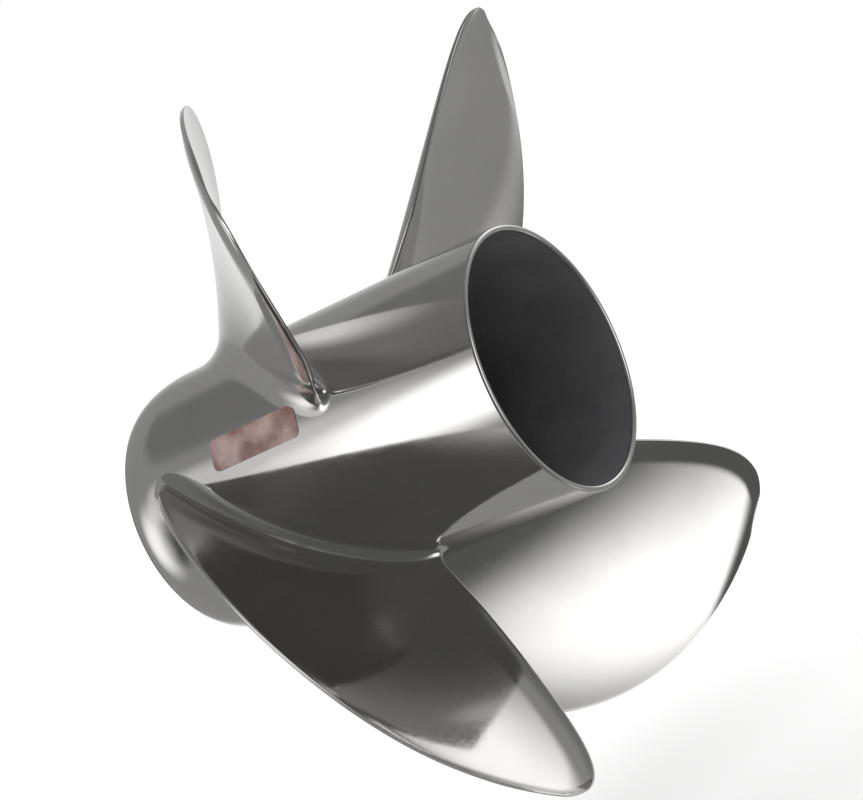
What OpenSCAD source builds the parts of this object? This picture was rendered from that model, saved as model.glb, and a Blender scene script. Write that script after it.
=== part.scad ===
// Four-blade boat propeller with a through-hub exhaust and a cushioned, splined hub.
// Built along local +Z, which points aft, then laid down so that aft is -Y and up is +Z.
// The origin is on the shaft axis, inside the thrust washer's bore.

/* [Blades] */
// Diameter over the blade tips
prop_d = 356; // [296:1:428]
// Number of blades, with one rib under each
blade_count = 4; // [3:1:5]
// Pitch of the blade face at its root
pitch_root = 391; // [325:1:470]
// Pitch of the blade face at its tip
pitch_tip = 433; // [360:1:520]
// Place of the trailing edge's root, aft of the origin
blade_te_z = 98.5; // [95:0.5:118]
// How far the tip leans aft of the root
rake_rise = 68; // [0:1:82]
// Angle that the leading edge sweeps through from root to tip
le_sweep = 70.5; // [50:0.5:74]
// Angle between the trailing edge and the tip
te_lead = 9.5; // [2:0.5:12]
// Blade thickness at the root
blade_root_t = 7; // [5:0.5:9]
// Blade thickness at the tip
blade_tip_t = 2; // [1.6:0.2:3]
// Hollow of the pressure face, as a share of the chord
camber = 0.01; // [0:0.002:0.03]
// Height of the cup along the trailing edge
cup_h = 3; // [0:0.5:5]
// Width of the cupped strip
cup_w = 11; // [8:0.5:20]
// Radius of the fillet between blade and barrel
fillet_r = 9; // [4:0.5:12]
// How deep the blade's weld sinks into the barrel
weld_depth = 0.8; // [0.4:0.1:1.5]
// Angle of the first blade's tip, seen from aft and counted from +X
first_tip_angle = 45; // [0:5:90]

/* [Barrel] */
// Length of the barrel
barrel_len = 190; // [158:1:228]
// Outside diameter at the aft end
barrel_aft_d = 114; // [95:1:137]
// Outside diameter behind the rounded front end
barrel_front_d = 117; // [98:1:141]
// Wall thickness at the aft end
barrel_wall = 2.8; // [2.2:0.1:3.4]
// Distance from the barrel's front face to the origin
front_overhang = 16; // [12:1:20]
// Width of the flat ring on the front face
front_land = 3; // [2:0.5:4]
// Length of the rounded front end
nose_len = 24; // [16:1:29]
// Drop of the rounded front end
nose_drop = 7.5; // [5:0.5:9]

/* [Hub] */
// Diameter of the plain shaft bore
shaft_d = 32; // [26.5:0.5:38.5]
// Diameter of the shaft's threaded end
thread_d = 19.05; // [16:0.05:22.5]
// Number of spline teeth
spline_teeth = 15; // [11:1:19]
// Depth of the spline teeth
spline_depth = 2; // [1.5:0.25:2.5]
// Wall of the splined brass sleeve outside its teeth
sleeve_wall = 4; // [3:0.5:5]
// Thickness of the rubber
rubber_t = 5; // [4:0.5:6]
// Wall of the keyed drive sleeve
drive_wall = 5.5; // [4.5:0.5:7]
// Wall of the inner hub
hub_wall = 5.5; // [4.5:0.5:7]
// Length of the inner hub
hub_len = 104; // [86:1:120]
// Rib thickness
rib_t = 6; // [4:0.5:8]
// Twist that the cushion allows each way
twist = 8; // [4:1:12]

/* [Fasteners] */
// Length of the thrust washer in front of the inner hub
thrust_lip = 10; // [8:1:12]
// Thickness of the splined adapter behind the sleeve
adapter_t = 8; // [6:1:10]
// Thickness of the continuity washer
contact_t = 0.8; // [0.6:0.1:1.2]
// Thickness of the tab washer
tab_t = 1.5; // [1:0.25:2]
// Height of the nut's hexagon
nut_h = 14; // [11:1:17]
// Width of the nut across its flats
nut_af = 28.6; // [27:0.1:34.4]
// Height of the nut's collar
collar_h = 5; // [4:0.5:6]

/* [Label] */
// Length of the blank label along the barrel
label_len = 46; // [30:1:60]
// Width of the label round the barrel
label_w = 14; // [12:1:22]

/* [Hidden] */
$fn = 96;

// Clearances
seat_gap = 0.15;      // between the thrust washer's cone and the inner hub
rubber_gap = 0.05;    // round the rubber, which turns inside the drive sleeve
turn_gap = 0.3;       // between faces that turn past each other
key_gap = 0.05;       // round the drive sleeve's keys
tab_gap = 0.2;        // between the nut's flats and the bent tabs
insert_gap = 0.3;     // how far the nylon ring stands into the thread
washer_gap = 0.5;     // between a washer's hole and the thread
cut = 1;              // how far a cutting solid runs past what it cuts

// Barrel
front_z = -front_overhang;
aft_z = front_z + barrel_len;
aft_r = barrel_aft_d / 2;
front_r = barrel_front_d / 2;
bore_r = aft_r - barrel_wall;
nose_z = front_z + nose_len;
mouth_r = front_r - nose_drop - front_land;
mouth_len = 20;
rim_r = barrel_wall * 0.35;
arc_steps = 8;
function barrel_r(z) = front_r + (aft_r - front_r) * (z - nose_z) / (aft_z - nose_z);

// Hub stack, from the shaft outwards
shaft_r = shaft_d / 2;
spline_step = 1;
spline_major_r = shaft_r - spline_step;
spline_minor_r = spline_major_r - spline_depth;
spline_sleeve_r = spline_major_r + sleeve_wall;
rubber_r = spline_sleeve_r + rubber_t;
drive_in_r = rubber_r + rubber_gap;
drive_r = drive_in_r + drive_wall;
hub_r = drive_r + hub_wall;
key_h = 2;
key_w = 8;
key_count = 4;

// Hub stack, from front to aft
hub_z0 = 0;
seat_len = 8;
lip_len = 1;
sleeve_set = 0.5;
rubber_set = 3;
sleeve_z0 = hub_z0 + seat_len + sleeve_set;
drive_z0 = hub_z0 + seat_len + lip_len;
hub_z1 = hub_z0 + hub_len;
drive_z1 = hub_z1 - lip_len;
rubber_z0 = drive_z0 + rubber_set;
adapter_z0 = hub_z1 + turn_gap;
adapter_z1 = adapter_z0 + adapter_t;
lug_len = 9;
lug_angle = 24;
notch_spare = 0.6;
lug_inset = 0.5;
lug_z0 = adapter_z0 - lug_len;
rubber_z1 = lug_z0 - rubber_set;
tab_z0 = adapter_z1 + contact_t;
nut_z0 = tab_z0 + tab_t;
nut_z1 = nut_z0 + nut_h;
insert_len = collar_h - 1;
thread_r = thread_d / 2;
adapter_lip = 1.5;
seat_lip = 0.5;
throat_gap = 0.15;
collar_wall = 1.5;
adapter_r = drive_r + adapter_lip;
seat_r = drive_r + seat_lip;
throat_r = drive_in_r + throat_gap;
collar_r = nut_af / 2 - collar_wall;
insert_r = collar_r - collar_wall;
washer_r = nut_af * 0.64;      // just wider than the nut's corners
tab_w = 8;
hole_r = thread_r + washer_gap;

// Blade grid: rows run from root to tip, columns from leading to trailing edge
root_rows = 5;
rows = 22;
cols = 18;
tip_r = prop_d / 2;
tip_end = 0.9995;
le_power = 1.53;
le_hollow = 0.12;
te_power = 12;
te_bulge = 0.4;
te_taper = 0.6;
tip_curl = 0.5;        // the tip's share of the cup's height
tip_curl_w = 6;
root_wrap = le_sweep + te_lead;
root_x = fillet_r / (tip_r - barrel_r(0));
function outer_x(u) = root_x + (tip_end - root_x) * (1 - pow(1 - u, 2.2));
function row_x(j) = j < root_rows
    ? root_x * pow(j / root_rows, 1.5)
    : outer_x((j - root_rows) / (rows - root_rows));
function col_c(i) = (1 - cos(180 * i / cols)) / 2;
function pitch(x) = pitch_tip - (pitch_tip - pitch_root) * pow(1 - x, 2);
function le_angle(x) = -le_sweep * (1 - le_hollow * x * (1 - x)) * sqrt(1 - pow(x, le_power));
function te_angle(x) = te_lead * (1 + te_bulge * x - te_taper * x * x) * sqrt(1 - pow(x, te_power));
function face_z(x, a) = blade_te_z + rake_rise * x + (a - te_lead) * pitch(x) / 360;
function blade_t(x) = blade_tip_t + (blade_root_t - blade_tip_t) * pow(1 - x, 1.3);
function mix(a, b, x) = a + (b - a) * x;
function row_r(x, z) = mix(barrel_r(z) - weld_depth, tip_r, x);
function helix(x, r) = atan(pitch(x) / (2 * PI * r));
function chord(x, r) = (te_angle(x) - le_angle(x)) * PI / 180 * r / cos(helix(x, r));
function height(x) = x * (tip_r - barrel_r(0));
function fillet(h) = h >= fillet_r ? 0 : fillet_r - sqrt(fillet_r ^ 2 - (fillet_r - h) ^ 2);
function section(c, p) = sqrt(max(0, 1 - pow(abs(2 * c - 1), p)));
function tip_lift(x) = pow(max(0, 1 - (1 - x) * (tip_r - barrel_r(0)) / tip_curl_w), 2);
function lip(c, length) = c * pow(max(0, 1 - (1 - c) * length / cup_w), 2);
function cup(x, c, length) = cup_h * min(1, 4 * x) * mix(lip(c, length), tip_curl, tip_lift(x));

// A point of the blade: side is 1 on the pressure face and -1 on the suction face
function blade_point(x, c, side) =
    let (
        a0 = mix(le_angle(x), te_angle(x), c),
        r0 = row_r(x, face_z(x, a0)),
        b = helix(x, r0),
        length = chord(x, r0),
        flare = fillet(height(x)),
        half = blade_t(x) / 2 * section(c, 2.2) + flare * section(c, 8),
        bow = -4 * camber * length * c * (1 - c),
        off = bow + cup(x, c, length) + side * half,
        slide = flare * (2 * c - 1) * 0.8,
        a = a0 + (slide * cos(b) - off * sin(b)) / r0 * 180 / PI,
        z = face_z(x, a0) + slide * sin(b) + off * cos(b),
        r = row_r(x, z)
    )
    [r * cos(a), r * sin(a), z];

loop_len = 2 * cols;
function loop_point(x, k) =
    k <= cols ? blade_point(x, col_c(k), 1) : blade_point(x, col_c(loop_len - k), -1);
function grid_points() = [for (j = [0 : rows], k = [0 : loop_len - 1]) loop_point(row_x(j), k)];
function side_faces() = [
    for (j = [0 : rows - 1], k = [0 : loop_len - 1])
        let (a = j * loop_len + k, b = j * loop_len + (k + 1) % loop_len)
            each [[a, a + loop_len, b], [b, a + loop_len, b + loop_len]]
];
function cap_faces(base, flip) = [
    for (k = [0 : cols - 1])
        let (a = base + k, b = base + k + 1, m = loop_len)
        let (c = base + (m - k - 1) % m, d = base + (m - k) % m)
        each [
            if (k < cols - 1) flip ? [a, c, b] : [a, b, c],
            if (k > 0) flip ? [a, d, c] : [a, c, d]
        ]
];

module blade(i) {
    color("gainsboro")
        rotate([0, 0, first_tip_angle + (i - 1) * 360 / blade_count])
            polyhedron(
                points = grid_points(),
                faces = concat(
                    side_faces(),
                    cap_faces(0, false),
                    cap_faces(rows * loop_len, true)
                )
            );
}

// Half section of the barrel: rounded nose, straight taper and a rounded aft rim
function quarter(cx, cy, rx, ry, from) = [
    for (i = [0 : arc_steps])
        let (a = from + 90 * i / arc_steps) [cx + rx * cos(a), cy + ry * sin(a)]
];

module barrel() {
    color("silver")
        rotate_extrude()
            polygon(concat(
                [[bore_r, aft_z - rim_r], [bore_r, front_z + mouth_len], [mouth_r, front_z]],
                quarter(front_r - nose_drop, nose_z, nose_drop, nose_len, -90),
                quarter(aft_r - rim_r, aft_z - rim_r, rim_r, rim_r, 0),
                [[bore_r + rim_r, aft_z]]
            ));
}

module ring(r, hole_r, z0, z1) {
    difference() {
        translate([0, 0, z0]) cylinder(r = r, h = z1 - z0);
        translate([0, 0, z0 - cut]) cylinder(r = hole_r, h = z1 - z0 + 2 * cut);
    }
}

module keys(extra, z1) {
    for (i = [0 : key_count - 1])
        rotate([0, 0, i * 360 / key_count])
            translate([0, -key_w / 2 - extra, drive_z0])
                cube([drive_r + key_h + extra, key_w + 2 * extra, z1 - drive_z0]);
}

module inner_hub() {
    color("darkgray")
        difference() {
            ring(hub_r, throat_r, hub_z0, hub_z1);
            translate([0, 0, hub_z0])
                cylinder(r1 = seat_r + seat_gap, r2 = throat_r, h = seat_len);
            translate([0, 0, drive_z0]) cylinder(r = drive_r, h = hub_len);
            keys(key_gap, hub_z1 + cut);
        }
}

module rib(i) {
    foot = 4;
    lean = 10;
    inside = hub_r - cut;
    outside = bore_r + cut;
    color("darkgray")
        rotate([0, 0, 45 + (i - 1) * 360 / blade_count])
            difference() {
                intersection() {
                    rotate([90, 0, 0])
                        translate([0, 0, -rib_t / 2])
                            linear_extrude(rib_t)
                                polygon([
                                    [inside, hub_z0 + foot],
                                    [outside, front_z + mouth_len + lean],
                                    [outside, hub_z1 - foot - lean],
                                    [inside, hub_z1 - foot]
                                ]);
                    cylinder(r = bore_r, h = hub_z1);
                }
                translate([0, 0, hub_z0 - cut]) cylinder(r = hub_r, h = hub_len + 2 * cut);
            }
}

module wedge(r, angle, z0, z1) {
    translate([0, 0, z0])
        rotate([0, 0, -angle / 2])
            rotate_extrude(angle = angle)
                square([r, z1 - z0]);
}

module drive_sleeve() {
    color("dimgray")
        difference() {
            union() {
                ring(drive_r, drive_in_r, drive_z0, drive_z1);
                intersection() {
                    ring(drive_r + key_h, drive_in_r, drive_z0, drive_z1);
                    keys(0, drive_z1);
                }
            }
            for (i = [0 : key_count - 1])
                rotate([0, 0, (i + 0.5) * 360 / key_count])
                    wedge(
                        drive_r + key_h + cut,
                        lug_angle + 2 * (twist + notch_spare),
                        lug_z0 - cut,
                        hub_z1
                    );
        }
}

module spline_hole(z0, z1) {
    tooth = 360 / spline_teeth;
    tip_w = spline_major_r * sin(tooth / 4) * 0.8;
    root_w = spline_minor_r * sin(tooth / 4) * 1.3;
    translate([0, 0, z0])
        linear_extrude(z1 - z0) {
            circle(r = spline_minor_r);
            for (i = [0 : spline_teeth - 1])
                rotate([0, 0, i * tooth])
                    polygon([
                        [spline_minor_r - cut, -root_w],
                        [spline_major_r, -tip_w],
                        [spline_major_r, tip_w],
                        [spline_minor_r - cut, root_w]
                    ]);
        }
}

module spline_sleeve() {
    lead_in = 4;
    color("goldenrod")
        difference() {
            translate([0, 0, sleeve_z0]) cylinder(r = spline_sleeve_r, h = hub_z1 - sleeve_z0);
            spline_hole(sleeve_z0 - cut, hub_z1 + cut);
            translate([0, 0, sleeve_z0 - cut]) cylinder(r = shaft_r, h = cut + lead_in);
        }
}

module rubber_bush() {
    bevel = 1.5;
    color("black")
        rotate_extrude()
            polygon([
                [spline_sleeve_r, rubber_z0 + bevel],
                [spline_sleeve_r + rubber_t / 2, rubber_z0],
                [rubber_r, rubber_z0 + bevel],
                [rubber_r, rubber_z1 - bevel],
                [spline_sleeve_r + rubber_t / 2, rubber_z1],
                [spline_sleeve_r, rubber_z1 - bevel]
            ]);
}

module thrust_washer() {
    bevel = 1;
    color("peru")
        rotate_extrude()
            polygon([
                [shaft_r + bevel, -thrust_lip],
                [seat_r - bevel, -thrust_lip],
                [seat_r, -thrust_lip + bevel],
                [seat_r, hub_z0],
                [throat_r - seat_gap, hub_z0 + seat_len],
                [throat_r - seat_gap, sleeve_z0],
                [shaft_r, sleeve_z0],
                [shaft_r, -thrust_lip + bevel]
            ]);
}

module aft_adapter() {
    lug_in_r = rubber_r + 0.6;
    notch_depth = 6;
    color("peru")
        difference() {
            union() {
                translate([0, 0, adapter_z0]) cylinder(r = adapter_r, h = adapter_t);
                translate([0, 0, hub_z1]) cylinder(r = spline_sleeve_r, h = adapter_z1 - hub_z1);
                for (i = [0 : key_count - 1])
                    rotate([0, 0, (i + 0.5) * 360 / key_count])
                        difference() {
                            wedge(drive_r - lug_inset, lug_angle, lug_z0, adapter_z0 + cut);
                            cylinder(r = lug_in_r, h = 2 * hub_len);
                        }
            }
            spline_hole(hub_z1 - cut, adapter_z1 + cut);
            translate([-tab_w / 2 - turn_gap, adapter_r - notch_depth, adapter_z0 - cut])
                cube([tab_w + 2 * turn_gap, notch_depth + cut, adapter_t + 2 * cut]);
        }
}

// A thin ring whose three small tangs press on the adapter's rim
module continuity_washer() {
    tang_w = 6;
    tang_set = 3;
    color("lightgray")
        difference() {
            union() {
                translate([0, 0, adapter_z1]) cylinder(r = washer_r, h = contact_t);
                for (k = [0 : 2])
                    rotate([0, 0, 30 + k * 120])
                        translate([0, -tang_w / 2, adapter_z1])
                            cube([adapter_r - tang_set, tang_w, contact_t]);
            }
            translate([0, 0, adapter_z1 - cut]) cylinder(r = hole_r, h = contact_t + 2 * cut);
        }
}

module bent_tab(angle) {
    rotate([0, 0, angle])
        translate([nut_af / 2 + tab_gap, -tab_w / 2, tab_z0])
            cube([tab_t, tab_w, tab_t + nut_h * 0.55]);
}

module tab_washer() {
    hook_set = 4;
    tab_reach = adapter_r - hook_set;
    hook_len = adapter_t * 0.7;
    color("lightgray")
        difference() {
            union() {
                translate([0, 0, tab_z0]) cylinder(r = washer_r, h = tab_t);
                for (k = [0 : 5]) if (k != 1) bent_tab(30 + k * 60);
                rotate([0, 0, 90])
                    translate([0, -tab_w / 2, tab_z0]) cube([tab_reach + tab_t, tab_w, tab_t]);
                translate([-tab_w / 2, tab_reach, adapter_z1 - hook_len])
                    cube([tab_w, tab_t, hook_len + contact_t + tab_t]);
            }
            translate([0, 0, tab_z0 - cut]) cylinder(r = hole_r, h = tab_t + 2 * cut);
        }
}

module prop_nut() {
    corner_r = nut_af / sqrt(3);
    bevel = 2;
    color("silver")
        difference() {
            union() {
                intersection() {
                    translate([0, 0, nut_z0]) cylinder(r = corner_r, h = nut_h, $fn = 6);
                    rotate_extrude()
                        polygon([
                            [0, nut_z0],
                            [corner_r - bevel, nut_z0],
                            [corner_r + cut, nut_z0 + bevel],
                            [corner_r + cut, nut_z1 - bevel],
                            [corner_r - bevel, nut_z1],
                            [0, nut_z1]
                        ]);
                }
                translate([0, 0, nut_z1]) cylinder(r = collar_r, h = collar_h);
            }
            translate([0, 0, nut_z0 - cut]) cylinder(r = thread_r, h = nut_h + collar_h + 2 * cut);
            translate([0, 0, nut_z1]) cylinder(r = insert_r, h = insert_len);
        }
}

module nut_insert() {
    color("royalblue") ring(insert_r, thread_r - insert_gap, nut_z1, nut_z1 + insert_len);
}

module rounded_rectangle(length, width, corner) {
    square([length - 2 * corner, width], center = true);
    square([length, width - 2 * corner], center = true);
    for (x = [-1, 1], y = [-1, 1])
        translate([x * (length / 2 - corner), y * (width / 2 - corner)])
            circle(r = corner, $fn = 32);
}

// A thin blank label on the barrel, half way between two blade roots
module label() {
    label_t = 0.2;
    label_corner = 3;
    aft_of_root = 7;
    label_z = blade_te_z - root_wrap * pitch_root / 720 + aft_of_root;
    gap_angle = te_angle(0) - root_wrap / 2 - 180 / blade_count;
    label_angle = first_tip_angle + 360 / blade_count * 2 + gap_angle;
    color("rosybrown")
        intersection() {
            difference() {
                translate([0, 0, nose_z])
                    cylinder(r1 = front_r + label_t, r2 = aft_r + label_t, h = aft_z - nose_z);
                translate([0, 0, nose_z]) cylinder(r1 = front_r, r2 = aft_r, h = aft_z - nose_z);
            }
            rotate([0, 0, label_angle])
                translate([0, 0, label_z])
                    rotate([0, 90, 0])
                        linear_extrude(2 * front_r) rounded_rectangle(label_len, label_w, label_corner);
        }
}

module lay_down() { rotate([90, 0, 0]) children(); }

lay_down() barrel();
lay_down() inner_hub();
lay_down() drive_sleeve();
lay_down() label();
for (i = [1 : blade_count]) {
    lay_down() rib(i);
    lay_down() blade(i);
}
lay_down() thrust_washer();
lay_down() spline_sleeve();
lay_down() rubber_bush();
lay_down() aft_adapter();
lay_down() continuity_washer();
lay_down() tab_washer();
lay_down() prop_nut();
lay_down() nut_insert();
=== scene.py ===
import math

import bpy
from mathutils import Matrix, Vector


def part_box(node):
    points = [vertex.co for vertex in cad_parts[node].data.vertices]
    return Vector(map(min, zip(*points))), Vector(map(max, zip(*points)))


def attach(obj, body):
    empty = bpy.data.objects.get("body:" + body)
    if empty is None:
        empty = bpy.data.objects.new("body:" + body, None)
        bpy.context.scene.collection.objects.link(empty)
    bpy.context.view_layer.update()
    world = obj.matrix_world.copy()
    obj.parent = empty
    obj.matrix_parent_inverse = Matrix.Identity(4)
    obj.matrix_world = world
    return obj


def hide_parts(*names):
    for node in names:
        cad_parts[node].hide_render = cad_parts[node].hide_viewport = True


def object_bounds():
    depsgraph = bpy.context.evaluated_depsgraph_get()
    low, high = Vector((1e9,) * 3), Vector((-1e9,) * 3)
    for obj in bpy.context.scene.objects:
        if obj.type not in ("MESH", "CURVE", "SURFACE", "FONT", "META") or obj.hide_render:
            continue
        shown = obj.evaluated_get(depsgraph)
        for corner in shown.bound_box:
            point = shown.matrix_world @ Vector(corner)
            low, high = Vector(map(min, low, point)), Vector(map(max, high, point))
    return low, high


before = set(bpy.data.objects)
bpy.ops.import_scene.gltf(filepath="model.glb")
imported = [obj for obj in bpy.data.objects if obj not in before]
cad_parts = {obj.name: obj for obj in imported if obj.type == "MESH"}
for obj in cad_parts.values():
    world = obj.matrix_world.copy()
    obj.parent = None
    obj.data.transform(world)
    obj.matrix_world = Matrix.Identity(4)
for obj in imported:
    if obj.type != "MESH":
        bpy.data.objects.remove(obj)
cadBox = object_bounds()

mm = 0.001
barrelLow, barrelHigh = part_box("barrel")
frontFace = barrelHigh.y / mm      # aft is -Y, and lengths below are in millimetres
aftRim = barrelLow.y / mm
frontRadius = barrelHigh.x / mm

finish = {
    "flatAngle": 0.5,        # degrees, under which two CAD facets are one face
    "creaseAngle": 50.0,     # degrees, over which an edge stays sharp
    "sheetCrease": 60.0,
    "turnedCrease": 35.0,
}


# Selecting, placing and finishing

def clearSelection():
    if bpy.context.object and bpy.context.object.mode != "OBJECT":
        bpy.ops.object.mode_set(mode="OBJECT")
    bpy.ops.object.select_all(action="DESELECT")


def pickOnly(piece):
    clearSelection()
    piece.select_set(True)
    bpy.context.view_layer.objects.active = piece


def mergeDoubles(piece, gap=0.001):
    pickOnly(piece)
    bpy.ops.object.mode_set(mode="EDIT")
    bpy.ops.mesh.select_all(action="SELECT")
    bpy.ops.mesh.remove_doubles(threshold=gap * mm)
    bpy.ops.mesh.normals_make_consistent(inside=False)
    bpy.ops.object.mode_set(mode="OBJECT")


def bevelEdges(piece, width, segments=3, angle=30):
    pickOnly(piece)
    bevel = piece.modifiers.new("softEdges", "BEVEL")
    bevel.width = width * mm
    bevel.segments = segments
    bevel.limit_method = "ANGLE"
    bevel.angle_limit = math.radians(angle)
    bevel.use_clamp_overlap = True
    bpy.ops.object.modifier_apply(modifier=bevel.name)


def smoothPiece(piece, angle):
    pickOnly(piece)
    bpy.ops.object.shade_smooth_by_angle(angle=math.radians(angle))


def evenNormals(piece):
    pickOnly(piece)
    even = piece.modifiers.new("evenNormals", "WEIGHTED_NORMAL")
    even.keep_sharp = True
    even.weight = 100
    bpy.ops.object.modifier_apply(modifier=even.name)


def dress(piece, body, slot, nodes, *materials):
    piece.data.materials.clear()
    for material in materials:
        piece.data.materials.append(material)
    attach(piece, body)
    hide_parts(*nodes)
    return piece


def turnPiece(piece, degrees):      # counted from +X towards +Z, about the shaft axis
    piece.data.transform(Matrix.Rotation(math.radians(-degrees), 4, "Y"))


def roundCopies(first, name, count, firstAngle):
    copies = [first]
    for index in range(1, count):
        twin = bpy.data.objects.new("%s%d" % (name, index + 1), first.data.copy())
        bpy.context.scene.collection.objects.link(twin)
        turnPiece(twin, 360 / count * index)
        copies.append(twin)
    for piece in copies:
        turnPiece(piece, firstAngle)
    return copies


# Shapes shared by several pieces

def mix(a, b, share):
    return a + (b - a) * share


def sectionBulge(across, power):    # 1 in the middle of a section, 0 at both edges
    return math.sqrt(max(0, 1 - abs(2 * across - 1) ** power))


def filletFlare(height, radius):    # how far a fillet stands out at a height above the surface
    if height >= radius:
        return 0
    return radius - math.sqrt(max(0, radius ** 2 - (radius - height) ** 2))


def polarPoint(radius, degrees, aft):
    angle = math.radians(degrees)
    return Vector((radius * math.cos(angle), -aft, radius * math.sin(angle))) * mm


def rolledSheet(name, rows, columns, pointAt):
    # A flat grid rolled into a closed shell: pointAt takes shares along it and round it
    clearSelection()
    bpy.ops.mesh.primitive_grid_add(x_subdivisions=rows, y_subdivisions=columns, size=1)
    piece = bpy.context.object
    piece.name = name
    for vertex in piece.data.vertices:
        vertex.co = pointAt(min(1, max(0, vertex.co.x + 0.5)), min(1, max(0, vertex.co.y + 0.5)))
    mergeDoubles(piece)
    smoothPiece(piece, finish["sheetCrease"])
    return piece


def roundedOutline(corners, arcSteps=6):
    # Each corner is (radius, y, bend), and the bend is the radius that rounds it
    outline = []
    for index, (radius, along, bend) in enumerate(corners):
        here = Vector((radius, along))
        if bend == 0:
            outline.append(here)
            continue
        before = (Vector(corners[index - 1][:2]) - here).normalized()
        after = (Vector(corners[(index + 1) % len(corners)][:2]) - here).normalized()
        half = before.angle(after) / 2
        centre = here + (before + after).normalized() * bend / math.sin(half)
        start = here + before * bend / math.tan(half) - centre
        end = here + after * bend / math.tan(half) - centre
        turn = math.atan2(start.x * end.y - start.y * end.x, start.dot(end))
        for step in range(arcSteps + 1):
            outline.append(centre + Matrix.Rotation(turn * step / arcSteps, 2) @ start)
    return outline


def turnedPiece(name, outline, steps, crease=finish["turnedCrease"]):
    # A closed outline of (radius, y) points spun about the shaft axis
    clearSelection()
    bpy.ops.mesh.primitive_circle_add(vertices=len(outline), radius=1, fill_type="NOTHING")
    piece = bpy.context.object
    piece.name = name
    for vertex, point in zip(piece.data.vertices, outline):
        vertex.co = Vector((point[0], point[1], 0)) * mm
    bpy.ops.object.mode_set(mode="EDIT")
    bpy.ops.mesh.select_all(action="SELECT")
    bpy.ops.mesh.spin(steps=steps, angle=2 * math.pi, center=(0, 0, 0), axis=(0, 1, 0))
    bpy.ops.object.mode_set(mode="OBJECT")
    mergeDoubles(piece)
    smoothPiece(piece, crease)
    return piece


def softenedCopy(name, node, width):
    # A copy of the CAD node with its edges rounded as a cast or machined piece has them
    piece = bpy.data.objects.new(name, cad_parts[node].data.copy())
    bpy.context.scene.collection.objects.link(piece)
    mergeDoubles(piece)
    bpy.ops.object.mode_set(mode="EDIT")
    bpy.ops.mesh.select_all(action="SELECT")
    bpy.ops.mesh.dissolve_limited(angle_limit=math.radians(finish["flatAngle"]))
    bpy.ops.object.mode_set(mode="OBJECT")
    bevelEdges(piece, width)
    smoothPiece(piece, finish["creaseAngle"])
    evenNormals(piece)
    return piece


# Materials

# where the noise nodes stand in the node editor
colourRow = (-900, 300)
grainRow = (-900, -100)
reliefRow = (-900, -300)
waveRow = (-900, -500)


def addNode(tree, kind, place=(0, 0), **settings):
    made = tree.nodes.new(kind)
    made.location = place
    for key, value in settings.items():
        setattr(made, key, value)
    return made


def newMaterial(name, colour, metallic, roughness):
    material = bpy.data.materials.new(name)
    material.use_nodes = True
    tree = material.node_tree
    shader = tree.nodes["Principled BSDF"]
    shader.inputs["Base Color"].default_value = (*colour, 1)
    shader.inputs["Metallic"].default_value = metallic
    shader.inputs["Roughness"].default_value = roughness
    return material, tree, shader


def objectNoise(tree, scale, detail, stretch=(1, 1, 1), place=colourRow):
    coords = addNode(tree, "ShaderNodeTexCoord", (place[0] - 400, place[1]))
    mapping = addNode(tree, "ShaderNodeMapping", (place[0] - 200, place[1]))
    mapping.inputs["Scale"].default_value = stretch
    noise = addNode(tree, "ShaderNodeTexNoise", place)
    noise.inputs["Scale"].default_value = scale
    noise.inputs["Detail"].default_value = detail
    tree.links.new(coords.outputs["Object"], mapping.inputs["Vector"])
    tree.links.new(mapping.outputs["Vector"], noise.inputs["Vector"])
    return noise.outputs["Fac"]


def ranged(tree, value, low, high, fromLow=0.3, fromHigh=0.7, place=(-500, 0)):
    limits = addNode(tree, "ShaderNodeMapRange", place)
    limits.inputs["From Min"].default_value = fromLow
    limits.inputs["From Max"].default_value = fromHigh
    limits.inputs["To Min"].default_value = low
    limits.inputs["To Max"].default_value = high
    tree.links.new(value, limits.inputs["Value"])
    return limits.outputs["Result"]


def tinted(tree, value, first, second, place=(-500, 200)):
    ramp = addNode(tree, "ShaderNodeValToRGB", place)
    ramp.color_ramp.elements[0].position = 0.35
    ramp.color_ramp.elements[1].position = 0.65
    ramp.color_ramp.elements[0].color = (*first, 1)
    ramp.color_ramp.elements[1].color = (*second, 1)
    tree.links.new(value, ramp.inputs["Fac"])
    return ramp.outputs["Color"]


def addBump(tree, shader, value, strength, depth, after=None, place=(-250, -300)):
    bump = addNode(tree, "ShaderNodeBump", place)
    bump.inputs["Strength"].default_value = strength
    bump.inputs["Distance"].default_value = depth * mm
    tree.links.new(value, bump.inputs["Height"])
    if after:
        tree.links.new(after, bump.inputs["Normal"])
    tree.links.new(bump.outputs["Normal"], shader.inputs["Normal"])
    return bump.outputs["Normal"]


def roughen(tree, shader, value, rough, shares):
    low, high = rough * shares[0], min(1, rough * shares[1])
    tree.links.new(ranged(tree, value, low, high), shader.inputs["Roughness"])


steelLook = {
    "bright": (0.665, 0.658, 0.645),
    "dull": (0.610, 0.603, 0.590),
    "tintScale": 22,
    "tintDetail": 2,
    "grainScale": 900,
    "grainDetail": 4,
    "grainStrength": 0.3,
    "waveScale": 26,
    "waveDetail": 1,
    "waveStrength": 0.5,
    "smoothest": 0.07,
    "roughest": 0.13,
    "waviness": 0.12,      # bump depth of the hand-polished waves, mm
    "grain": 0.004,        # bump depth of the polishing grain, mm
}


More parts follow.
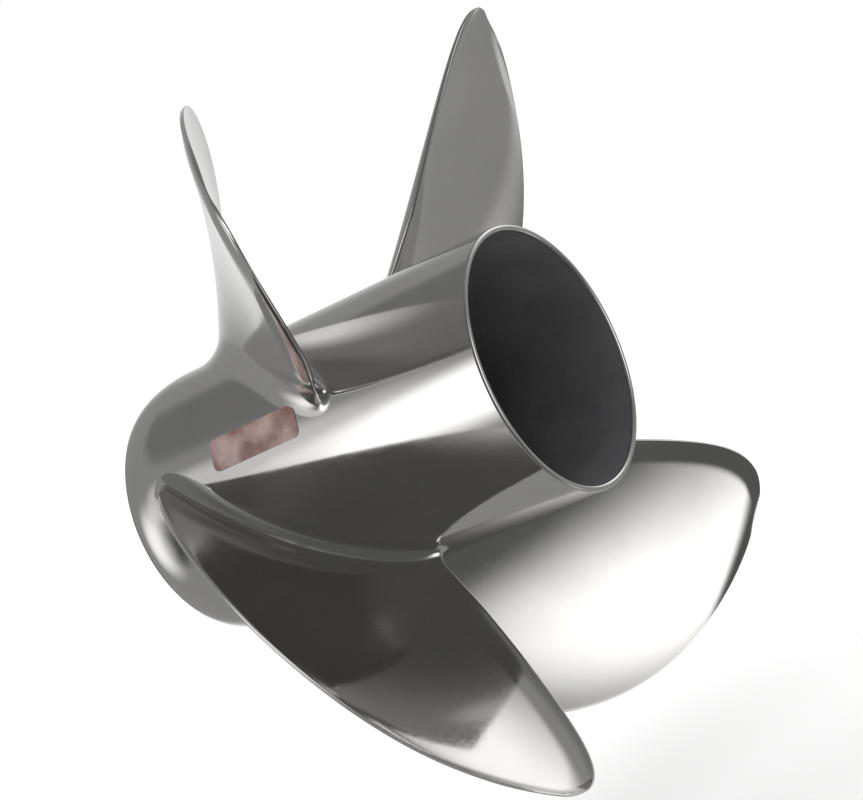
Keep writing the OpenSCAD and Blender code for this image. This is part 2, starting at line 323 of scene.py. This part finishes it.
def polishedSteel(name, stretch):
    material, tree, shader = newMaterial(name, steelLook["bright"], 1, 0.1)
    broad = objectNoise(tree, steelLook["tintScale"], steelLook["tintDetail"], place=colourRow)
    fine = objectNoise(tree, steelLook["grainScale"], steelLook["grainDetail"], stretch, grainRow)
    waves = objectNoise(tree, steelLook["waveScale"], steelLook["waveDetail"], place=waveRow)
    colour = tinted(tree, broad, steelLook["dull"], steelLook["bright"])
    tree.links.new(colour, shader.inputs["Base Color"])
    rough = ranged(tree, fine, steelLook["smoothest"], steelLook["roughest"])
    tree.links.new(rough, shader.inputs["Roughness"])
    wavy = addBump(tree, shader, waves, steelLook["waveStrength"], steelLook["waviness"],
                   place=(-450, -500))
    addBump(tree, shader, fine, steelLook["grainStrength"], steelLook["grain"], wavy)
    return material


castLook = {
    "blotchScale": 420 / 9,
    "blotchDetail": 4,
    "gritScale": 420,
    "gritDetail": 6,
    "gritStrength": 0.6,
    "gritDepth": 0.12,     # mm
    "roughShares": (0.8, 1.2),
}


def castMetal(name, first, second, rough, metallic=1.0):
    material, tree, shader = newMaterial(name, first, metallic, rough)
    blotch = objectNoise(tree, castLook["blotchScale"], castLook["blotchDetail"], place=colourRow)
    grit = objectNoise(tree, castLook["gritScale"], castLook["gritDetail"], place=reliefRow)
    tree.links.new(tinted(tree, blotch, first, second), shader.inputs["Base Color"])
    roughen(tree, shader, grit, rough, castLook["roughShares"])
    addBump(tree, shader, grit, castLook["gritStrength"], castLook["gritDepth"])
    return material


machinedLook = {
    "stainScale": 60,
    "stainDetail": 3,
    "lineScale": 1500,
    "lineDetail": 3,
    "lineStrength": 0.4,
    "lineDepth": 0.02,     # mm
    "roughShares": (0.7, 1.35),
}


def machinedMetal(name, first, second, rough, stretch=(1, 0.04, 1)):
    material, tree, shader = newMaterial(name, first, 1, rough)
    stain = objectNoise(tree, machinedLook["stainScale"], machinedLook["stainDetail"], place=colourRow)
    lines = objectNoise(
        tree, machinedLook["lineScale"], machinedLook["lineDetail"], stretch, place=reliefRow)
    tree.links.new(tinted(tree, stain, first, second), shader.inputs["Base Color"])
    roughen(tree, shader, lines, rough, machinedLook["roughShares"])
    addBump(tree, shader, lines, machinedLook["lineStrength"], machinedLook["lineDepth"])
    return material


mouldedLook = {
    "cloudScale": 70,
    "cloudDetail": 3,
    "grainScale": 700,
    "rubberGrainScale": 900,
    "grainDetail": 5,
    "grainStrength": 0.4,
    "grainDepth": 0.05,    # mm
    "roughShares": (0.85, 1.15),
}


def mouldedPlastic(name, first, second, rough, grainScale=mouldedLook["grainScale"]):
    material, tree, shader = newMaterial(name, first, 0, rough)
    cloud = objectNoise(tree, mouldedLook["cloudScale"], mouldedLook["cloudDetail"], place=colourRow)
    grain = objectNoise(tree, grainScale, mouldedLook["grainDetail"], place=reliefRow)
    tree.links.new(tinted(tree, cloud, first, second), shader.inputs["Base Color"])
    roughen(tree, shader, grain, rough, mouldedLook["roughShares"])
    addBump(tree, shader, grain, mouldedLook["grainStrength"], mouldedLook["grainDepth"])
    return material


barrelSteel = polishedSteel("polishedBarrel", (1, 0.12, 1))
bladeSteel = polishedSteel("polishedBlade", (0.35, 1, 0.35))
# inside of the barrel: an as-cast finish, darker than the ribs' cast steel, and that extra darkness is
# painted shade in the bore
castLiningAndPaintedShade = castMetal("castLiningAndPaintedShade", (0.115, 0.115, 0.122), (0.148, 0.147, 0.153), 0.6, 0.3)
castSteel = castMetal("castSteel", (0.20, 0.20, 0.20), (0.27, 0.265, 0.26), 0.45)
blackPlastic = mouldedPlastic("blackPlastic", (0.018, 0.018, 0.019), (0.030, 0.030, 0.031), 0.45)
rubberSkin = mouldedPlastic("rubberSkin", (0.012, 0.012, 0.012), (0.022, 0.021, 0.020), 0.7,
                            mouldedLook["rubberGrainScale"])
blueNylon = mouldedPlastic("blueNylon", (0.020, 0.055, 0.30), (0.030, 0.075, 0.36), 0.35)
brass = machinedMetal("machinedBrass", (0.70, 0.49, 0.20), (0.78, 0.57, 0.27), 0.24)
bronze = machinedMetal("machinedBronze", (0.55, 0.34, 0.17), (0.63, 0.41, 0.22), 0.3, (0.05, 1, 0.05))
washerSteel = machinedMetal("washerSteel", (0.50, 0.50, 0.49), (0.57, 0.565, 0.55), 0.28, (1, 1, 0.05))
nutSteel = machinedMetal("nutSteel", (0.54, 0.54, 0.53), (0.62, 0.615, 0.60), 0.2)
print("materials: done")


# Barrel: rounded front end, straight taper, thin rounded aft rim

barrel = {
    "aftRadius": 57.0,
    "wall": 2.8,
    "noseLength": 24.0,
    "noseDrop": 7.5,
    "frontLand": 3.0,
    "mouthLength": 20.0,
    "rimBend": 1.2,
    "mouthBend": 6.0,
    "frontBend": 0.8,
    "bendSteps": 8,
    "noseSteps": 28,
    "steps": 256,
    "darkFrom": 2.0,         # the dark lining, a cast finish darkened as painted shade, starts this far behind the front face
    "darkMargin": 0.3,
}
noseAft = barrel["noseLength"] - frontFace      # where the rounded end meets the taper
boreRadius = barrel["aftRadius"] - barrel["wall"]


def barrelRadius(aft):
    share = (aft - noseAft) / (-aftRim - noseAft)
    straight = mix(frontRadius, barrel["aftRadius"], share)
    if share >= 0:
        return straight
    dip = min(1, (noseAft - aft) / barrel["noseLength"])
    return frontRadius - barrel["noseDrop"] * (1 - math.sqrt(1 - dip * dip))


def makeBarrel():
    nose = []
    for step in range(barrel["noseSteps"] + 1):
        turn = math.pi / 2 * step / barrel["noseSteps"]
        nose.append(Vector((
            frontRadius - barrel["noseDrop"] * (1 - math.sin(turn)),
            frontFace - barrel["noseLength"] * (1 - math.cos(turn)),
        )))
    mouthRadius = frontRadius - barrel["noseDrop"] - barrel["frontLand"]
    bend = barrel["rimBend"]
    shell = roundedOutline([
        (barrel["aftRadius"], aftRim, bend),
        (boreRadius, aftRim, bend),
        (boreRadius, frontFace - barrel["mouthLength"], barrel["mouthBend"]),
        (mouthRadius, frontFace, barrel["frontBend"]),
    ], barrel["bendSteps"])
    piece = turnedPiece("barrelShell", nose + shell, barrel["steps"], finish["creaseAngle"])
    dress(piece, "propeller", "barrel_steel", ["barrel"], barrelSteel, castLiningAndPaintedShade)
    # faces inside the bore take the second material, the cast lining darkened as painted shade
    for face in piece.data.polygons:
        place = face.center / mm
        radius = math.hypot(place.x, place.z)
        within = aftRim + bend < place.y < frontFace - barrel["darkFrom"]
        inside = within and radius < boreRadius + barrel["darkMargin"]
        face.material_index = 1 if inside else 0


makeBarrel()
print("barrel: done")


# Blades: swept, raked and cupped, with fillets that run out on the barrel

blade = {
    "count": 4,
    "tipRadius": 178.0,
    "rootPitch": 391.0,
    "tipPitch": 433.0,
    "trailingRoot": 98.5,
    "rake": 68.0,
    "leadingSweep": 70.5,
    "leadingPower": 1.53,
    "leadingHollow": 0.12,
    "trailingLead": 9.5,
    "trailingPower": 12.0,
    "trailingBulge": 0.4,
    "trailingTaper": 0.6,
    "rootThickness": 7.0,
    "tipThickness": 2.0,
    "thicknessPower": 1.3,
    "sectionPower": 2.2,     # 2 is an ellipse, and more is fuller
    "hollow": 0.01,
    "cupHeight": 3.0,
    "cupRunIn": 0.25,        # share of the height over which the cup grows
    "cupWidth": 11.0,
    "tipCurl": 0.5,          # the tip's share of the cup's height
    "tipCurlWidth": 6.0,
    "edgeRadius": 0.95,
    "filletRadius": 9.0,
    "filletPower": 8.0,
    "filletSlide": 0.8,      # how far the fillet runs out along the blade's ends
    "sink": 0.05,
    "keelDepth": 1.2,
    "firstAngle": 45.0,
    "rows": 110,
    "rootRows": 18,
    "rootSpacing": 1.6,
    "tipSpacing": 2.2,
    "columns": 168,
}


def bladePitch(height):
    return blade["tipPitch"] - (blade["tipPitch"] - blade["rootPitch"]) * (1 - height) ** 2


def leadingAngle(height):
    hollow = 1 - blade["leadingHollow"] * height * (1 - height)
    return -blade["leadingSweep"] * hollow * math.sqrt(max(0, 1 - height ** blade["leadingPower"]))


def trailingAngle(height):
    bulge = 1 + blade["trailingBulge"] * height - blade["trailingTaper"] * height * height
    return blade["trailingLead"] * bulge * math.sqrt(max(0, 1 - height ** blade["trailingPower"]))


def faceAft(height, angle):
    lead = (angle - blade["trailingLead"]) * bladePitch(height) / 360
    return blade["trailingRoot"] + blade["rake"] * height + lead


def bladeHeight(row):    # share of the height at a row, close together at the root and the tip
    span = blade["tipRadius"] - barrelRadius(0)
    rootShare = blade["filletRadius"] / span
    if row <= blade["rootRows"]:
        return rootShare * (row / blade["rootRows"]) ** blade["rootSpacing"]
    out = (row - blade["rootRows"]) / (blade["rows"] - 1 - blade["rootRows"])
    return rootShare + (1 - rootShare) * (1 - (1 - out) ** blade["tipSpacing"])


def bladePoint(along, around):
    row = round(along * blade["rows"])
    height = bladeHeight(max(0, row - 1))
    keel = row == 0                      # the first row closes the root inside the barrel wall
    across = (1 - math.cos(2 * math.pi * around)) / 2
    side = 1 if around < 0.5 else -1
    span = blade["tipRadius"] - barrelRadius(0)
    angle = mix(leadingAngle(height), trailingAngle(height), across)
    sunk = blade["keelDepth"] if keel else blade["sink"]

    def rowRadius(aft):
        return mix(barrelRadius(aft) - sunk, blade["tipRadius"], height)

    aft = faceAft(height, angle)
    radius = rowRadius(aft)
    helix = math.atan2(bladePitch(height), 2 * math.pi * radius)
    sweep = math.radians(trailingAngle(height) - leadingAngle(height))
    chord = sweep * radius / math.cos(helix)
    flare = filletFlare(height * span, blade["filletRadius"])
    rootShare = (1 - height) ** blade["thicknessPower"]
    thickness = mix(blade["tipThickness"], blade["rootThickness"], rootShare)
    tipLength = blade["tipThickness"] / 2 / span
    tipShare = max(0, (height - 1 + tipLength) / tipLength)
    thickness *= math.sqrt(max(0, 1 - tipShare * tipShare))
    edge = min(blade["edgeRadius"], thickness / 2)
    inward = max(0, edge - min(across, 1 - across) * chord)
    half = (thickness / 2 - edge) * sectionBulge(across, blade["sectionPower"])
    half += math.sqrt(edge ** 2 - inward ** 2)
    half += flare * sectionBulge(across, blade["filletPower"])
    if keel:
        half = 0
    lip = across * max(0, 1 - (1 - across) * chord / blade["cupWidth"]) ** 2
    tipLift = max(0, 1 - (1 - height) * span / blade["tipCurlWidth"]) ** 2
    grown = min(1, height / blade["cupRunIn"])
    cup = blade["cupHeight"] * grown * mix(lip, blade["tipCurl"], tipLift)
    hollow = -4 * blade["hollow"] * chord * across * (1 - across)
    offset = hollow + cup + side * half
    slide = flare * (2 * across - 1) * blade["filletSlide"]
    turn = (slide * math.cos(helix) - offset * math.sin(helix)) / radius
    aft += slide * math.sin(helix) + offset * math.cos(helix)
    return polarPoint(rowRadius(aft), angle + math.degrees(turn), aft)


def makeBlades():
    first = rolledSheet("blade1", blade["rows"], blade["columns"], bladePoint)
    for index, piece in enumerate(roundCopies(first, "blade", blade["count"], blade["firstAngle"])):
        dress(piece, "propeller", "blade_steel", ["blade_%d" % (index + 1)], bladeSteel)


makeBlades()
print("blades: done")


# Ribs between the inner hub and the barrel

hubLow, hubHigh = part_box("inner_hub")
hubRadius = hubHigh.x / mm
hubLength = -hubLow.y / mm

rib = {
    "thickness": 6.0,
    "foot": 4.0,
    "lean": 10.0,
    "count": 4,
    "firstAngle": 45.0,
    "sectionPower": 12.0,
    "filletRadius": 4.0,
    "filletPower": 8.0,
    "filletSlide": 0.6,
    "overlap": 0.8,
    "rows": 36,
    "columns": 80,
}


def ribPoint(along, around):
    inner = hubRadius - rib["overlap"]
    outer = boreRadius + rib["overlap"]
    row = round(along * rib["rows"])
    share = min(1, max(0, (row - 1) / (rib["rows"] - 2)))
    radius = mix(inner, outer, (1 - math.cos(math.pi * share)) / 2)
    across = (1 - math.cos(2 * math.pi * around)) / 2
    side = 1 if around < 0.5 else -1
    flare = filletFlare(max(0, radius - hubRadius), rib["filletRadius"])
    flare += filletFlare(max(0, boreRadius - radius), rib["filletRadius"])
    front = mix(rib["foot"], barrel["mouthLength"] - frontFace + rib["lean"], share)
    back = mix(hubLength - rib["foot"], hubLength - rib["foot"] - rib["lean"], share)
    half = rib["thickness"] / 2 * sectionBulge(across, rib["sectionPower"])
    half += flare * sectionBulge(across, rib["filletPower"])
    if row in (0, rib["rows"]):
        half = 0
    aft = mix(front, back, across) + flare * (2 * across - 1) * rib["filletSlide"]
    return Vector((radius, -aft, side * half)) * mm


def makeRibs():
    first = rolledSheet("rib1", rib["rows"], rib["columns"], ribPoint)
    for index, piece in enumerate(roundCopies(first, "rib", rib["count"], rib["firstAngle"])):
        dress(piece, "propeller", "cast_steel", ["rib_%d" % (index + 1)], castSteel)


makeRibs()
print("ribs: done")


# Hub stack and fasteners, from the CAD shapes with their edges eased

easedEdges = {
    # piece: (CAD node, body, slot, material, edge radius)
    "innerHub": ("inner_hub", "propeller", "cast_steel", castSteel, 0.8),
    "driveSleeve": ("drive_sleeve", "propeller", "black_plastic", blackPlastic, 0.4),
    "splineSleeve": ("spline_sleeve", "drive", "brass", brass, 0.25),
    "aftAdapter": ("aft_adapter", "drive", "bronze", bronze, 0.5),
    "continuityWasher": ("continuity_washer", "drive", "washer_steel", washerSteel, 0.2),
    "tabWasher": ("tab_washer", "drive", "washer_steel", washerSteel, 0.3),
    "propNut": ("prop_nut", "drive", "nut_steel", nutSteel, 0.4),
}


def makeHubStack():
    for name, (node, body, slot, material, width) in easedEdges.items():
        dress(softenedCopy(name, node, width), body, slot, [node], material)


makeHubStack()
print("hub stack: done")


thrustWasher = {
    "boreRadius": 16.0,
    "noseRadius": 30.05,
    "stepRadius": 24.05,
    "coneLength": 8.0,
    "edgeBend": 1.0,
    "faceBend": 0.3,
    "coneBend": 0.1,
    "backBend": 0.2,
    "grooveRadius": 23.0,
    "grooveDepth": 0.8,
    "grooveWidth": 2.4,
    "grooveFloor": 0.7,      # the groove's floor, as a share of its width
    "steps": 160,
}


def makeThrustWasher():
    low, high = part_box("thrust_washer")
    front, back = high.y / mm, low.y / mm
    groove = thrustWasher["grooveRadius"]
    half = thrustWasher["grooveWidth"] / 2
    deep = front - thrustWasher["grooveDepth"]
    faceBend = thrustWasher["faceBend"]
    outline = roundedOutline([
        (thrustWasher["boreRadius"], back, faceBend),
        (thrustWasher["boreRadius"], front, thrustWasher["edgeBend"]),
        (groove - half, front, faceBend),
        (groove - half * thrustWasher["grooveFloor"], deep, faceBend),
        (groove + half * thrustWasher["grooveFloor"], deep, faceBend),
        (groove + half, front, faceBend),
        (thrustWasher["noseRadius"], front, thrustWasher["edgeBend"]),
        (thrustWasher["noseRadius"], 0, faceBend),
        (thrustWasher["stepRadius"], -thrustWasher["coneLength"], thrustWasher["coneBend"]),
        (thrustWasher["stepRadius"], back, thrustWasher["backBend"]),
    ])
    piece = turnedPiece("thrustWasher", outline, thrustWasher["steps"])
    dress(piece, "drive", "bronze", ["thrust_washer"], bronze)


makeThrustWasher()
print("thrust washer: done")


rubber = {
    "innerRadius": 19.0,
    "bulge": 1.4,
    "bulgeSteps": 8,
    "steps": 96,
}


def makeRubber():
    low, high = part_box("rubber_bush")
    outer = high.x / mm
    front, back = high.y / mm, low.y / mm
    middle = (rubber["innerRadius"] + outer) / 2
    half = (outer - rubber["innerRadius"]) / 2
    outline = []
    for end, turn in ((front - rubber["bulge"], 1), (back + rubber["bulge"], -1)):
        for step in range(rubber["bulgeSteps"] + 1):
            angle = math.pi * step / rubber["bulgeSteps"]
            outline.append(Vector((
                middle - turn * half * math.cos(angle),
                end + turn * rubber["bulge"] * math.sin(angle),
            )))
    piece = turnedPiece("rubberBush", outline, rubber["steps"])
    dress(piece, "drive", "rubber", ["rubber_bush"], rubberSkin)


makeRubber()


nutInsert = {
    "innerRadius": 9.225,
    "bend": 0.35,
    "steps": 96,
}


def makeNutInsert():
    low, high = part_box("nut_insert")
    outer = high.x / mm
    front, back = high.y / mm, low.y / mm
    piece = turnedPiece("nutInsert", roundedOutline([
        (nutInsert["innerRadius"], front, nutInsert["bend"]),
        (outer, front, nutInsert["bend"]),
        (outer, back, nutInsert["bend"]),
        (nutInsert["innerRadius"], back, nutInsert["bend"]),
    ]), nutInsert["steps"])
    dress(piece, "drive", "blue_nylon", ["nut_insert"], blueNylon)


makeNutInsert()
print("rubber and nut insert: done")


# Label: a thin blank film with rounded corners, wrapped on the barrel

label = {
    "length": 46.0,
    "width": 14.0,
    "corner": 3.0,
    "thickness": 0.2,
    "lift": 0.02,            # between the film and the barrel
    "cornerSteps": 8,
    "cuts": 24,
    "creaseAngle": 30.0,
    "tone": (0.30, 0.14, 0.12),
    "roughness": 0.3,
    "dark": (0.20, 0.10, 0.09),
    "pale": (0.42, 0.30, 0.28),
    "cloudScale": 90,
    "grainScale": 1200,
    "roughest": 0.38,
    "smoothest": 0.22,
    "grainStrength": 0.3,
    "grainDepth": 0.02,
    "coat": 0.6,
    "coatRoughness": 0.12,
}


def makeLabelMaterial():
    material, tree, shader = newMaterial("labelFilm", label["tone"], 0, label["roughness"])
    cloud = objectNoise(tree, label["cloudScale"], 4, place=colourRow)
    grain = objectNoise(tree, label["grainScale"], 3, place=reliefRow)
    tree.links.new(tinted(tree, cloud, label["dark"], label["pale"]), shader.inputs["Base Color"])
    rough = ranged(tree, grain, label["smoothest"], label["roughest"])
    tree.links.new(rough, shader.inputs["Roughness"])
    addBump(tree, shader, grain, label["grainStrength"], label["grainDepth"])
    shader.inputs["Coat Weight"].default_value = label["coat"]
    shader.inputs["Coat Roughness"].default_value = label["coatRoughness"]
    return material


def makeLabel():
    low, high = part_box("label")
    middle = (low + high) / 2 / mm
    faceAngle = math.atan2(middle.z, middle.x)
    clearSelection()
    bpy.ops.mesh.primitive_plane_add(size=1)
    piece = bpy.context.object
    piece.name = "labelFilm"
    piece.data.transform(Matrix.Diagonal((label["length"], label["width"], 1, 1)))
    bpy.ops.object.mode_set(mode="EDIT")
    bpy.ops.mesh.select_all(action="SELECT")
    bpy.ops.mesh.bevel(offset=label["corner"], segments=label["cornerSteps"], affect="VERTICES")
    for cut in range(1, label["cuts"]):
        place = label["width"] * (cut / label["cuts"] - 0.5)
        bpy.ops.mesh.select_all(action="SELECT")
        bpy.ops.mesh.bisect(plane_co=(0, place, 0), plane_no=(0, 1, 0))
    bpy.ops.mesh.select_all(action="SELECT")
    bpy.ops.mesh.extrude_region_move(TRANSFORM_OT_translate={"value": (0, 0, label["thickness"])})
    bpy.ops.object.mode_set(mode="OBJECT")
    for vertex in piece.data.vertices:      # wrapped on the barrel
        aft = -middle.y + vertex.co.x
        angle = faceAngle + math.atan2(vertex.co.y, frontRadius)
        radius = barrelRadius(aft) + vertex.co.z + label["lift"]
        vertex.co = polarPoint(radius, math.degrees(angle), aft)
    mergeDoubles(piece)
    smoothPiece(piece, label["creaseAngle"])
    dress(piece, "propeller", "label_film", ["label"], makeLabelMaterial())


makeLabel()
print("label: done")


# Floor, light and camera

stage = {
    "floorDrop": 60.0,       # below the lowest blade tip, mm
    "floorSize": 40.0,       # metres
    "floorColour": (0.90, 0.90, 0.895),
    "floorRoughness": 0.9,
    "floorShine": 0.1,
    "skyStrength": 3.1,
    "skyAngle": 120.0,
}


def makeFloor():
    clearSelection()
    height = cadBox[0].z - stage["floorDrop"] * mm
    bpy.ops.mesh.primitive_circle_add(
        vertices=96, radius=stage["floorSize"], fill_type="NGON", location=(0, 0, height))
    floor = bpy.context.object
    floor.name = "floor"
    material, _, shader = newMaterial("paleFloor", stage["floorColour"], 0, stage["floorRoughness"])
    shader.inputs["Specular IOR Level"].default_value = stage["floorShine"]
    floor.data.materials.append(material)
    floor.visible_glossy = False        # the steel mirrors the studio and not the floor


def makeSkyLight():
    light = bpy.data.lights.new("softSky", "SUN")
    light.energy = stage["skyStrength"]
    light.angle = math.radians(stage["skyAngle"])
    sky = bpy.data.objects.new("softSky", light)
    sky.visible_glossy = False
    bpy.context.scene.collection.objects.link(sky)


studio = {
    "base": 0.33,
    "backdrop": 1.0,
    # bearing from the bow, height, half width, half height, softness (all degrees), brightness
    "panels": {
        "aftPanel": (183, 5, 16, 20, 10, 1.7),
        "portPanel": (-64, 13, 8, 20, 6, 2.3),
        "portFill": (-29, 0, 12, 17, 8, 1.05),
        "portTop": (-44, 25, 13, 11, 5, 0.45),
        "starboardFill": (55, -22, 16, 27, 14, 0.75),
        "starboardPanel": (108, 16, 18, 14, 14, 1.1),
        "lowFill": (143, -54, 9, 8, 4, 0.45),
    },
    # the same, and the share of the base that is left
    "flags": {
        "cameraSide": (-140, -12, 50, 90, 22, 0.36),
        "above": (15, 64, 55, 12, 12, 0.62),
        "portFlag": (-42, -5, 8, 13, 4, 0.1),
    },
}


def makeWorld():
    world = bpy.data.worlds.new("studio")
    bpy.context.scene.world = world
    world.use_nodes = True
    tree = world.node_tree
    direction = addNode(tree, "ShaderNodeTexCoord", (-1600, 0)).outputs["Generated"]

    def patch(spot, level, outside):
        bearing, height, halfWidth, halfHeight, softness = spot
        turn, lift = math.radians(bearing), math.radians(height)
        centre = (math.sin(turn) * math.cos(lift), math.cos(turn) * math.cos(lift), math.sin(lift))
        away = addNode(tree, "ShaderNodeVectorMath", (-1200, 0), operation="SUBTRACT")
        tree.links.new(direction, away.inputs[0])
        away.inputs[1].default_value = centre
        shaped = addNode(tree, "ShaderNodeVectorMath", (-1000, 0), operation="MULTIPLY")
        tree.links.new(away.outputs["Vector"], shaped.inputs[0])
        wide = math.radians(halfWidth)
        tall = math.radians(halfHeight)
        shaped.inputs[1].default_value = (1 / wide, 1 / wide, 1 / tall)
        length = addNode(tree, "ShaderNodeVectorMath", (-800, 0), operation="LENGTH")
        tree.links.new(shaped.outputs["Vector"], length.inputs[0])
        fade = addNode(tree, "ShaderNodeMapRange", (-600, 0), interpolation_type="SMOOTHSTEP")
        edge = softness / halfWidth
        fade.inputs["From Min"].default_value = 1 - edge
        fade.inputs["From Max"].default_value = 1 + edge
        fade.inputs["To Min"].default_value = level
        fade.inputs["To Max"].default_value = outside
        tree.links.new(length.outputs["Value"], fade.inputs["Value"])
        return fade.outputs["Result"]

    def combine(operation, first, second):
        step = addNode(tree, "ShaderNodeMath", (-400, 0), operation=operation)
        tree.links.new(first, step.inputs[0])
        tree.links.new(second, step.inputs[1])
        return step.outputs["Value"]

    base = addNode(tree, "ShaderNodeValue", (-600, 300))
    base.outputs["Value"].default_value = studio["base"]
    total = base.outputs["Value"]
    for spot in studio["flags"].values():
        total = combine("MULTIPLY", total, patch(spot[:5], spot[5], 1))
    for spot in studio["panels"].values():
        total = combine("ADD", total, patch(spot[:5], spot[5], 0))
    light = tree.nodes["Background"]
    light.inputs["Color"].default_value = (1, 1, 1, 1)
    tree.links.new(total, light.inputs["Strength"])
    backdrop = addNode(tree, "ShaderNodeBackground", (-200, -200))
    backdrop.inputs["Color"].default_value = (1, 1, 1, 1)
    backdrop.inputs["Strength"].default_value = studio["backdrop"]
    rays = addNode(tree, "ShaderNodeLightPath", (-200, 300))
    seen = addNode(tree, "ShaderNodeMixShader", (0, 0))
    tree.links.new(rays.outputs["Is Camera Ray"], seen.inputs["Fac"])
    tree.links.new(light.outputs["Background"], seen.inputs[1])
    tree.links.new(backdrop.outputs["Background"], seen.inputs[2])
    tree.links.new(seen.outputs["Shader"], tree.nodes["World Output"].inputs["Surface"])


camera = {
    "azimuth": -57.14,
    "elevation": 9.28,
    "roll": -30.1,
    "distance": 928.8,
    "lens": 97.38,
    "sideways": -48.97,
    "upward": -17.45,
}


def makeCamera():
    azimuth = math.radians(camera["azimuth"])
    elevation = math.radians(camera["elevation"])
    roll = math.radians(camera["roll"])
    back = Vector((
        math.cos(elevation) * math.sin(azimuth),
        -math.cos(elevation) * math.cos(azimuth),
        math.sin(elevation),
    ))
    level = Vector((math.cos(azimuth), math.sin(azimuth), 0))
    above = back.cross(level)
    right = math.cos(roll) * level + math.sin(roll) * above
    up = math.cos(roll) * above - math.sin(roll) * level
    rimCentre = Vector((0, aftRim, 0))
    place = rimCentre + back * camera["distance"] + right * camera["sideways"] + up * camera["upward"]
    lens = bpy.data.cameras.new("camera")
    lens.lens = camera["lens"]
    lens.clip_start = 0.01
    view = bpy.data.objects.new("camera", lens)
    bpy.context.scene.collection.objects.link(view)
    turn = Matrix((right, up, back)).transposed().to_4x4()
    view.matrix_world = Matrix.Translation(place * mm) @ turn
    bpy.context.scene.camera = view


makeFloor()
makeSkyLight()
makeWorld()
makeCamera()
bpy.context.scene.view_settings.view_transform = "Standard"
print("floor, light and camera: done")
